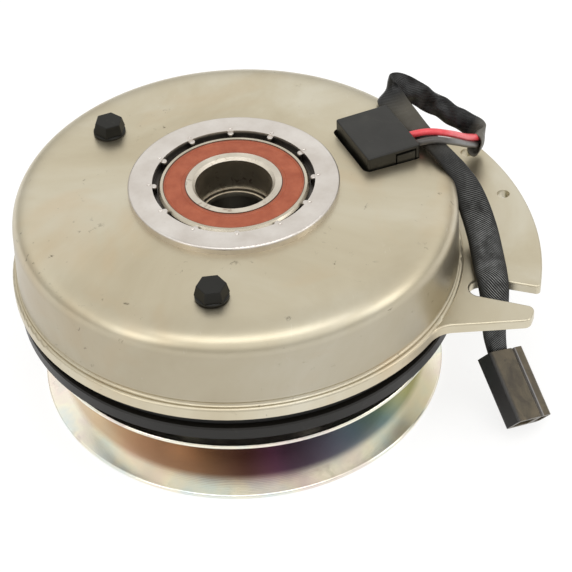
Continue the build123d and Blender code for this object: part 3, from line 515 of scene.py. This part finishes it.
def turned_steel(name, base, roughness, rust=0.0, **extra):
    """Steel with the lathe's fine rings, and rust spots where it has some."""
    s = Shader(name, srgb(*base), metallic=1.0, roughness=roughness, **extra)
    radius, _, z = s.polar()
    lines = s.math("SINE", s.times(s.math("ADD", radius, z), LATHE_LINES))
    color = s.ramp(s.noise(90, 4), [(0.3, shade(base, -16)), (0.7, shade(base, 12))])
    if rust:
        spots = s.ramp(s.noise(230, 6, 0.7, 0.8), [(0.57, NONE), (0.68, FULL)])
        color = s.mix(s.times(spots, rust), color, srgb(110, 72, 48))
    s.colored(color)
    smooth = max(roughness - 0.08, 0.05)
    s.roughened(smooth, roughness + 0.1, s.noise(160, 4))
    s.bump(lines, 0.03, 0.0001)
    return s.material


def hub_steel():
    """Turned steel with painted shade on its top face; only a thin painted highlight shows at the
    mouth of the shaft bore.
    """
    s = Shader("hub_steel", srgb(150, 146, 138), metallic=1.0, roughness=0.34)
    radius, _, z = s.polar()
    cloud = s.ramp(s.noise(90, 4), [(0.3, srgb(134, 130, 122)), (0.7, srgb(162, 158, 150))])
    # painted shade: the top face is painted dark from just outside the bore's mouth
    outside = s.ramp(s.times(radius, DECIMETRES), [(0.1475, NONE), (0.150, FULL)])
    top = s.ramp(s.times(z, DECIMETRES), [(0.77, NONE), (0.785, FULL)])
    color = s.mix(s.times(outside, top), cloud, srgb(46, 42, 36))
    # painted highlight: a pale line painted at the bore's mouth
    lip = s.times(s.math("SUBTRACT", 1.0, outside), top)
    s.colored(s.mix(lip, color, srgb(236, 230, 216)))
    s.roughened(0.26, 0.44, s.noise(160, 4))
    s.bump(s.math("SINE", s.times(s.math("ADD", radius, z), LATHE_LINES)), 0.03, 0.0001)
    return s.material


def rubber_seal(name, base):
    """Moulded rubber with smears and dark lines."""
    s = Shader(name, srgb(*base), roughness=0.42, Specular_IOR_Level=0.45)
    cloud = s.ramp(s.noise(160, 5, 0.65), [(0.3, shade(base, -12)), (0.7, shade(base, 12))])
    smear = s.ramp(s.noise(420, 5, 0.7), [(0.68, NONE), (0.76, FULL)])
    color = s.mix(s.times(smear, 0.45), cloud, srgb(*(v // 2 for v in base)))
    radius, _, _ = s.polar()
    # dark at the two edges and along one thin ring
    lines = s.ramp(s.times(radius, DECIMETRES), [
        (0.199, FULL), (0.201, NONE), (0.2065, NONE), (0.208, level(0.8)),
        (0.2095, NONE), (0.2845, NONE), (0.287, FULL)])
    s.colored(s.mix(s.times(lines, 0.85), color, srgb(48, 30, 22)))
    s.roughened(0.34, 0.5, s.noise(90, 3))
    s.bump(s.noise(1500, 3, 0.6), 0.08, 0.0002)
    return s.material


def nylon(name, base):
    """Moulded plastic or tape, clouded, scuffed and slightly uneven."""
    s = Shader(name, srgb(*base), roughness=0.4, Specular_IOR_Level=0.55)
    cloud = s.ramp(s.noise(80, 5, 0.6, 0.5), [
        (0.32, shade(base, -10)), (0.55, srgb(*base)), (0.75, shade(base, 16))])
    scuff = s.ramp(s.noise(240, 6, 0.7, 1.5, (1, 4, 1)), [(0.66, NONE), (0.74, FULL)])
    s.colored(s.mix(s.times(scuff, 0.22), cloud, srgb(150, 142, 128)))
    s.roughened(0.3, 0.5, s.noise(120, 4))
    s.bump(s.noise(1600, 3, 0.6), 0.1, 0.0002)
    s.bump(s.noise(60, 3, 0.5), 0.08, 0.0006)
    return s.material


def far_plug():
    """The far plug's nylon, browner on its broad faces, with painted shade that makes its left side
    near black and a painted highlight along the groove's edge.
    """
    s = Shader("engine_plug_nylon", srgb(86, 77, 60), roughness=0.36, Specular_IOR_Level=0.5)
    across = s.tree.nodes.new("ShaderNodeVectorMath")
    across.operation = "DOT_PRODUCT"
    across.inputs[1].default_value = PLUG_ACROSS
    s.link(s.coord.outputs["Object"], across.inputs[0])
    side = s.times(s.math("SUBTRACT", across.outputs["Value"], PLUG_LEFT), 40.0)
    broad = s.ramp(s.noise(110, 5, 0.6, 0.6), [(0.3, srgb(62, 54, 42)), (0.5, srgb(86, 77, 60)),
                                              (0.7, srgb(104, 92, 72))])
    # painted shade: the left side is painted near black
    left_side_painted_shade = s.ramp(side, [(0.012, FULL), (0.075, NONE)])
    # painted highlight: a pale line along the edge of the groove between the lobes
    groove_painted_highlight = s.ramp(side, [(0.588, NONE), (0.6, FULL), (0.612, FULL), (0.625, NONE)])
    color = s.mix(left_side_painted_shade, broad, srgb(22, 20, 18))
    color = s.mix(s.times(groove_painted_highlight, 0.6), color, srgb(158, 158, 162))
    spot = s.ramp(s.noise(200, 5, 0.7), [(0.62, NONE), (0.7, FULL)])
    s.colored(s.mix(s.times(spot, 0.5), color, srgb(46, 36, 34)))
    s.roughened(0.28, 0.48, s.noise(120, 4))
    s.bump(s.noise(1600, 3, 0.6), 0.1, 0.0002)
    return s.material


def wire(name, base, roughness=0.3):
    """Smooth insulation."""
    s = Shader(name, srgb(*base), roughness=roughness, Specular_IOR_Level=0.6)
    cloud = s.ramp(s.noise(300, 4, 0.6), [(0.3, shade(base, -14)), (0.7, srgb(*base))])
    s.colored(cloud)
    s.roughened(roughness - 0.06, roughness + 0.1, s.noise(200, 3))
    s.bump(s.noise(1200, 3, 0.6), 0.1, 0.0002)
    return s.material


def braid(girth):
    """Black monofilament braid with painted glints on its crossing threads, smoother at the fold,
    and painted light that greys it at the fold and the mouth's cuff.
    """
    s = Shader("braid", srgb(20, 19, 17), roughness=0.42, Specular_IOR_Level=0.32)
    split = s.tree.nodes.new("ShaderNodeSeparateXYZ")
    s.link(s.coord.outputs["UV"], split.inputs[0])
    u, v, _ = split.outputs
    share = s.math("DIVIDE", u, SLEEVE_LENGTH, clamp=True)
    pitch = 2 * pi / THREAD_PITCH
    slant = s.times(v, THREAD_SLANT)
    one = s.math("SINE", s.times(s.math("ADD", u, slant), pitch))
    two = s.math("SINE", s.times(s.math("SUBTRACT", u, slant), pitch * SECOND_THREAD))
    height = s.math("ADD", s.times(one, 0.36), s.times(two, 0.14))
    height = s.math("ADD", height, 0.5)
    # painted glints: the crossing threads' highlights are painted into the colour
    lit = s.times(height, s.grey(0.55, 1.25, s.noise(190, 3, 0.6)))
    glint = s.ramp(lit, [(0.6, NONE), (0.86, FULL)])
    shine = s.ramp(share, [(0.0, level(0.1)), (0.4, level(0.12)), (0.56, level(0.25)),
                           (0.66, level(0.9)), (1.0, level(0.8))])
    # the painted glints fade towards the sleeve's two folded edges
    middle = s.math("ABSOLUTE", s.math("SINE", s.times(v, 2 * pi / girth)))
    shine = s.times(shine, s.ramp(middle, [(0.3, level(0.06)), (0.9, FULL)]))
    # painted light: the body is grey where the cuff at the mouth and the fold catch the light, near
    # black elsewhere
    body = s.ramp(share, [
        (0.0, srgb(104, 101, 94)), (0.045, srgb(96, 93, 87)), (0.07, srgb(9, 9, 10)),
        (0.31, srgb(12, 12, 12)), (0.36, srgb(78, 74, 65)), (0.43, srgb(66, 62, 54)),
        (0.52, srgb(15, 14, 12)), (1.0, srgb(10, 10, 9))])
    s.colored(s.mix(s.times(glint, shine), body, srgb(176, 178, 178)))
    dull = s.ramp(share, [(0.0, level(0.5)), (0.06, level(0.16)), (0.3, level(0.18)),
                          (0.36, level(0.6)), (0.55, level(0.45)), (1.0, level(0.4))])
    s.link(s.math("ADD", dull, s.grey(0.0, 0.14, s.noise(60, 3))), s.bsdf.inputs["Roughness"])
    s.bump(height, 0.22, 0.0003)
    return s.material


def windings():
    """Enamelled copper wire, wound in rows and layers."""
    s = Shader("winding", srgb(150, 84, 48), metallic=0.6, roughness=0.35)
    radius, _, z = s.polar()
    layers = s.math("SINE", s.times(z, WINDING_LINES))
    rows = s.math("SINE", s.times(radius, WINDING_LINES))
    turns = s.times(layers, rows)
    color = s.ramp(s.noise(200, 3), [(0.3, srgb(120, 62, 34)), (0.7, srgb(176, 104, 60))])
    s.colored(color)
    s.bump(turns, 0.4, 0.0004)
    return s.material


BLACK = black_coat()
MATERIALS = {
    "field_shell": zinc(),
    "bearing_housing": housing(),
    "coil_bobbin": nylon("bobbin_plastic", (40, 38, 34)),
    "coil_winding": windings(),
    "coil_wrap": nylon("wrap_tape", (168, 150, 110)),
    "header_terminals": turned_steel("tinned_brass", (196, 178, 130), 0.3),
    "field_screws": BLACK,
    "field_bearing_outer_ring": turned_steel("bearing_outer", (190, 182, 166), 0.26),
    "field_bearing_inner_ring": turned_steel(
        "bearing_inner", (218, 210, 196), 0.4, rust=0.55, Anisotropic=0.85),
    "field_bearing_balls": turned_steel("ball_steel", (210, 210, 210), 0.08),
    "field_bearing_cage": turned_steel("cage_steel", (180, 176, 166), 0.35),
    "field_bearing_upper_seal": rubber_seal("orange_seal", (160, 78, 46)),
    "rotor_hub": hub_steel(),
    "rotor": black_coat("rotor_black", (18, 17, 16), 0.5),
    "friction_ring": nylon("friction_lining", (70, 62, 52)),
    "hub_retaining_ring": BLACK,
    "armature_plate": black_coat("armature_black", (26, 24, 21), 0.38),
    "armature_rivets": turned_steel("rivet_steel", (160, 156, 146), 0.36),
    "leaf_springs": turned_steel("spring_steel", (132, 134, 138), 0.26),
    "pulley_upper_half": rainbow_zinc(),
    "pulley_hub": turned_steel("pulley_hub_steel", (146, 142, 134), 0.36),
    "coil_plug": nylon("coil_plug_nylon", (16, 15, 9)),
    "engine_plug": far_plug(),
}
# Nodes that share another node's material
SAME = {
    "terminal_header": "coil_bobbin", "field_bearing_lower_seal": "field_bearing_upper_seal",
    "spring_posts": "armature_rivets", "post_rivets": "armature_rivets",
    "hub_rivets": "armature_rivets",
    "pulley_lower_half": "pulley_upper_half", "pulley_retaining_ring": "hub_retaining_ring",
    "pulley_bearing_outer_ring": "field_bearing_outer_ring",
    "pulley_bearing_inner_ring": "field_bearing_outer_ring",
    "pulley_bearing_balls": "field_bearing_balls", "pulley_bearing_cage": "field_bearing_cage",
    "engine_plug_terminals": "header_terminals",
}
black_seal = rubber_seal("black_seal", (30, 29, 28))
for node_name, node in NODES.items():
    material = MATERIALS.get(node_name) or MATERIALS.get(SAME.get(node_name))
    if node_name.startswith("pulley_bearing") and node_name.endswith("seal"):
        material = black_seal
    if material:                # the cords' own nodes are replaced and have none
        node.data.materials.clear()
        node.data.materials.append(material)
sleeve.data.materials.append(braid(sleeve_girth))
leads["red_wire"].data.materials.append(wire("red_insulation", (240, 84, 92)))
leads["black_wire"].data.materials.append(wire("black_insulation", (84, 81, 78), 0.34))


# ---- floor and light ------------------------------------------------------------------------
FLOOR_HALF = 6.0
FLOOR_DROP = 0.0002       # keeps the floor clear of the pulley's lower lip
LIT = (0, 0, 0.05)        # the point that every light is aimed at


def make_floor():
    """A white floor that lights itself, so that it has no far edge."""
    corners = [(x * FLOOR_HALF, y * FLOOR_HALF, -FLOOR_DROP)
               for x, y in ((-1, -1), (1, -1), (1, 1), (-1, 1))]
    floor = mesh_object("floor", corners, [(0, 1, 2, 3)], smooth=False)
    s = Shader("pale_floor", level(0.3), roughness=0.9, Specular_IOR_Level=0.1)
    s.bsdf.inputs["Emission Color"].default_value = FULL
    s.bsdf.inputs["Emission Strength"].default_value = 0.76
    floor.data.materials.append(s.material)


def area_light(name, place, size, power):
    """A soft rectangular light, its size in metres and its power in watts."""
    data = bpy.data.lights.new(name, "AREA")
    data.shape = "RECTANGLE"
    data.size, data.size_y = size
    data.energy = power
    light = bpy.data.objects.new(name, data)
    light.location = place
    light.rotation_euler = (Vector(LIT) - Vector(place)).to_track_quat("-Z", "Y").to_euler()
    bpy.context.scene.collection.objects.link(light)


def make_light():
    """A pale sky, brightest about 35 degrees above the horizon, and three soft lights."""
    world = bpy.data.worlds.new("studio")
    bpy.context.scene.world = world
    world.use_nodes = True
    tree = world.node_tree
    coord = tree.nodes.new("ShaderNodeTexCoord")
    split = tree.nodes.new("ShaderNodeSeparateXYZ")
    ramp = tree.nodes.new("ShaderNodeValToRGB")
    tree.links.new(coord.outputs["Generated"], split.inputs[0])
    tree.links.new(split.outputs["Z"], ramp.inputs["Fac"])
    elements = ramp.color_ramp.elements
    elements[0].position, elements[0].color = 0.0, (0.30, 0.29, 0.27, 1)
    elements[1].position, elements[1].color = 1.0, (0.70, 0.70, 0.69, 1)
    elements.new(0.30).color = (0.66, 0.65, 0.62, 1)
    elements.new(0.52).color = (1.0, 0.99, 0.96, 1)
    elements.new(0.62).color = (0.98, 0.97, 0.94, 1)
    elements.new(0.78).color = (0.74, 0.73, 0.71, 1)
    background = tree.nodes["Background"]
    tree.links.new(ramp.outputs["Color"], background.inputs["Color"])
    background.inputs["Strength"].default_value = 1.15
    area_light("overhead", (0.05, -0.45, 1.2), (1.2, 0.5), 3.4)
    area_light("front_left", (-1.1, -0.9, 0.75), (0.4, 0.9), 2.2)
    area_light("right", (1.25, -0.35, 0.7), (0.4, 0.9), 2.0)
    bpy.context.scene.view_settings.view_transform = "Standard"


make_floor()
make_light()
